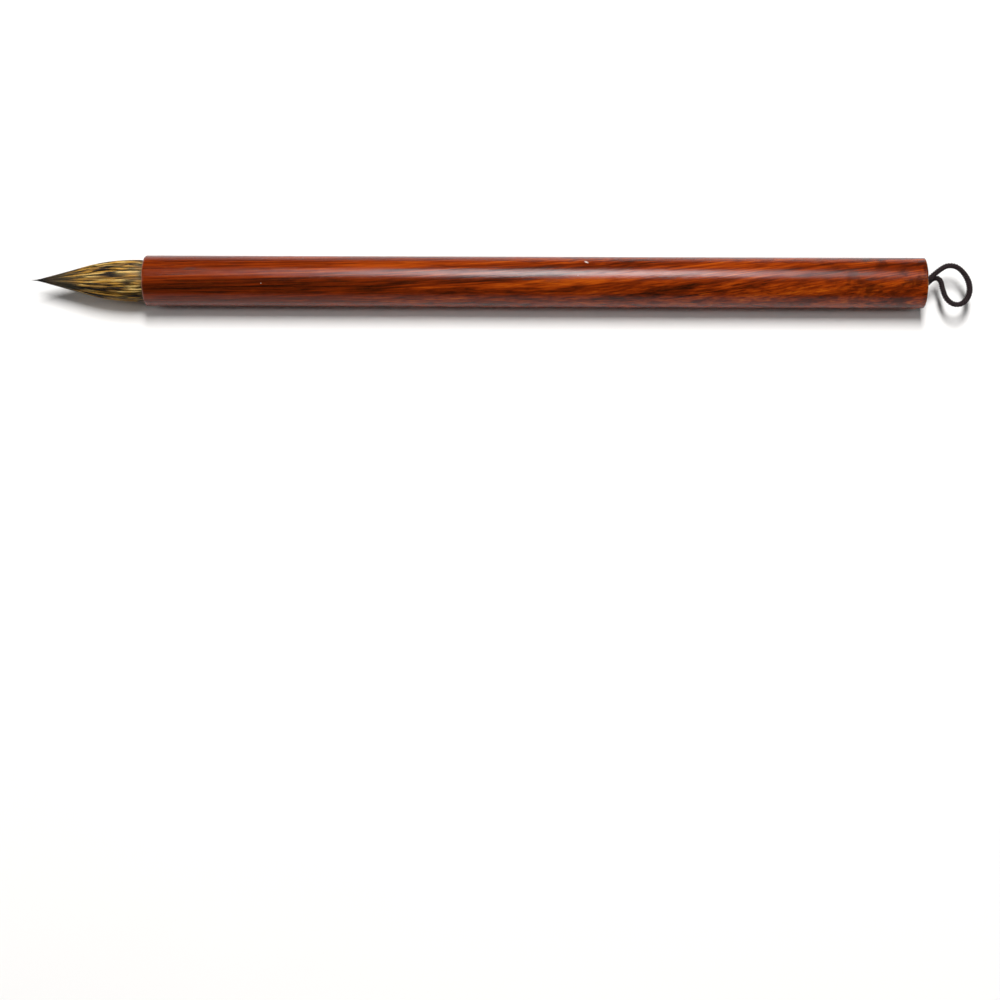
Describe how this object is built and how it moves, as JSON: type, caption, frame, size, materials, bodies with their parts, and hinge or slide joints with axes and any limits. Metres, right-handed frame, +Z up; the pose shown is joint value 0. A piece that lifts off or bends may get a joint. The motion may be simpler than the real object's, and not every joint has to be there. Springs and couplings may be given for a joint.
{
  "type": "calligraphy brush",
  "caption": "Round wooden-handled calligraphy brush with a pointed hair tuft set in the handle's mouth and a twisted cord hanging loop at the tail, lying on its side.",
  "frame": {"origin": "halfway from the tuft's tip to the handle's tail face, below the handle's axis, on the surface that the handle lies on", "axes": "+X along the handle from the tuft's tip towards the hanging loop, +Y across it in the plane of the loop, +Z up"},
  "size_m": [0.2415, 0.013, 0.0129],
  "materials": {
    "rosewood": "gloss lacquer over streaked rosewood",
    "cover_hair": "golden brown animal hair with dark dashes, near black at the point",
    "padding_hair": "pale straight hair",
    "core_hair": "dark stiff hair",
    "thread": "waxed thread",
    "glue": "hardened glue",
    "rosin": "hardened rosin",
    "cord": "tightly twisted dark brown cord"
  },
  "bodies": {
    "handle": {"handle_shaft": "rosewood", "socket_glue": "glue", "root_seal": "rosin", "binding_thread": "thread", "cover_hair_root": "cover_hair", "padding_hair_root": "padding_hair", "core_hair_root": "core_hair", "cord_ends": "cord", "cord_glue": "glue"},
    "tuft_belly": {"cover_hair_belly": "cover_hair", "padding_hair_belly": "padding_hair", "core_hair_belly": "core_hair"},
    "tuft_point": {"cover_hair_point": "cover_hair", "core_hair_point": "core_hair"},
    "hang_loop": {"loop_cord": "cord"}
  },
  "joints": [
    {"name": "belly_bend", "type": "hinge", "parent": "handle", "child": "tuft_belly", "pos_m": [-0.08625, 0, 0.00645], "axis": [0, 0, 1], "range_deg": [-18, 18], "stiffness_Nm_per_rad": 0.02},
    {"name": "point_bend", "type": "hinge", "parent": "tuft_belly", "child": "tuft_point", "pos_m": [-0.09835, 0, 0.00645], "axis": [0, 0, 1], "range_deg": [-27, 27], "stiffness_Nm_per_rad": 0.005},
    {"name": "loop_swing", "type": "hinge", "parent": "handle", "child": "hang_loop", "pos_m": [0.11531, 0, 0.00645], "axis": [0, -1, 0], "range_deg": [-28, 70], "stiffness_Nm_per_rad": 0.0005}
  ],
  "couplings": [
    {"joint": "point_bend", "follows": "belly_bend", "ratio": 1.5}
  ]
}
